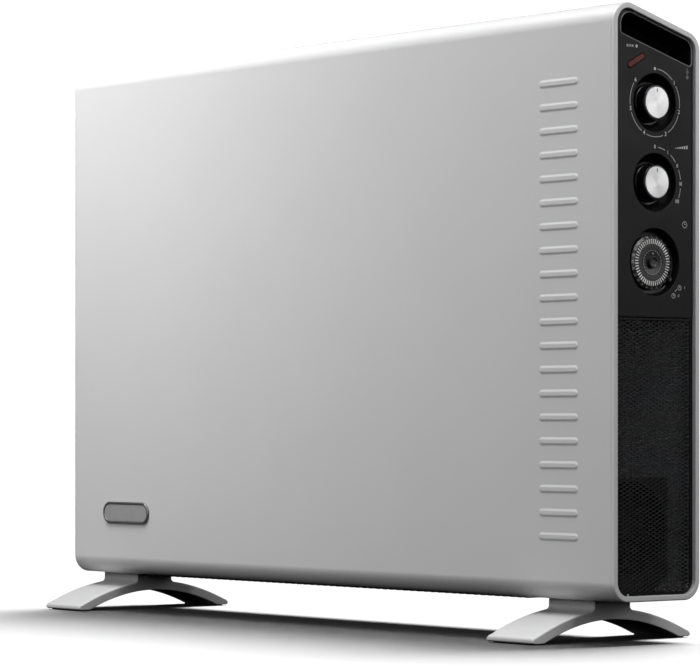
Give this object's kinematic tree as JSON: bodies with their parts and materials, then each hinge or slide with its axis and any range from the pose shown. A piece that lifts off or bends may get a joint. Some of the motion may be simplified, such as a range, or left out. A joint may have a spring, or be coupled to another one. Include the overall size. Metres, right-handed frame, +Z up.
{
  "type": "panel convector heater",
  "caption": "Slim electric panel convector heater on two arched feet, with knobs, a segment timer, a lamp and a handle pocket in its end.",
  "frame": {"origin": "on the floor under the middle of the heater, centre of its bounding box", "axes": "+X along the casing to the control end, -Y the front, +Z up"},
  "size_m": [0.7, 0.16, 0.473],
  "materials": {
    "casing_paint": "satin silver-grey powder coat on sheet steel",
    "frame_paint": "moulding painted satin silver-grey",
    "foot_paint": "moulding painted light silver",
    "black_moulding": "satin black moulding",
    "black_mesh": "expanded steel sheet, painted black",
    "knob_black": "semi-gloss black",
    "cap_aluminium": "spun, fine concentric brushing",
    "badge_aluminium": "satin, bare field",
    "dial_plastic": "dark grey, satin",
    "segment_plastic": "off-white, satin",
    "lamp_red": "dark red, translucent, unlit",
    "rubber": "matt black",
    "steel": "zinc plated",
    "galvanised_steel": "galvanised sheet",
    "element_aluminium": "extruded, unpolished",
    "ceramic": null,
    "switch_plastic": "cream thermoset"
  },
  "bodies": {
    "casing": {"front_panel": "casing_paint", "rear_panel": "casing_paint", "right_end_frame": "frame_paint", "left_end_frame": "frame_paint", "left_foot": "foot_paint", "right_foot": "foot_paint", "control_panel": "black_moulding", "left_end_panel": "black_moulding", "top_grille": "black_moulding", "bottom_grille": "black_moulding", "fan_housing": "black_moulding", "right_side_mesh": "black_mesh", "left_side_mesh": "black_mesh", "badge_plate": "badge_aluminium", "lamp_lens": "lamp_red", "left_foot_pad_front": "rubber", "left_foot_pad_rear": "rubber", "right_foot_pad_front": "rubber", "right_foot_pad_rear": "rubber", "cord_gland": "rubber", "fan_motor": "steel", "thermal_cutout": "steel", "rear_screw_left_lower": "steel", "rear_screw_left_upper": "steel", "rear_screw_right_lower": "steel", "rear_screw_right_upper": "steel", "left_foot_screw_outer": "steel", "left_foot_screw_inner": "steel", "right_foot_screw_outer": "steel", "right_foot_screw_inner": "steel", "element_bracket_left": "galvanised_steel", "element_bracket_middle": "galvanised_steel", "element_bracket_right": "galvanised_steel", "front_heat_shield": "galvanised_steel", "rear_heat_shield": "galvanised_steel", "front_heating_element": "element_aluminium", "rear_heating_element": "element_aluminium", "front_element_bush_left": "ceramic", "front_element_bush_right": "ceramic", "rear_element_bush_left": "ceramic", "rear_element_bush_right": "ceramic", "thermostat_body": "switch_plastic", "selector_switch": "switch_plastic", "timer_body": "switch_plastic", "lamp_holder": "switch_plastic", "terminal_block": "switch_plastic"},
    "thermostat_knob": {"thermostat_knob": "knob_black", "thermostat_knob_cap": "cap_aluminium", "thermostat_spindle": "steel"},
    "selector_knob": {"selector_knob": "knob_black", "selector_knob_cap": "cap_aluminium", "selector_spindle": "steel"},
    "timer_dial": {"timer_dial": "dial_plastic", "timer_segment_ring": "segment_plastic"},
    "timer_lever": {"timer_lever": "knob_black"},
    "fan_wheel": {"fan_wheel": "dial_plastic"}
  },
  "joints": [
    {"name": "thermostat_turn", "type": "hinge", "parent": "casing", "child": "thermostat_knob", "pos_m": [0.344, 0, 0.4008], "axis": [-1, 0, 0], "range_deg": [0, 309]},
    {"name": "selector_turn", "type": "hinge", "parent": "casing", "child": "selector_knob", "pos_m": [0.344, 0, 0.3418], "axis": [-1, 0, 0], "range_deg": [0, 120]},
    {"name": "timer_turn", "type": "hinge", "parent": "casing", "child": "timer_dial", "pos_m": [0.344, 0, 0.2828], "axis": [-1, 0, 0], "continuous": true},
    {"name": "timer_mode", "type": "hinge", "parent": "casing", "child": "timer_lever", "pos_m": [0.344, 0, 0.2828], "axis": [-1, 0, 0], "range_deg": [0, 14]},
    {"name": "fan_spin", "type": "hinge", "parent": "casing", "child": "fan_wheel", "pos_m": [0.308, 0, 0.086], "axis": [1, 0, 0], "continuous": true}
  ]
}
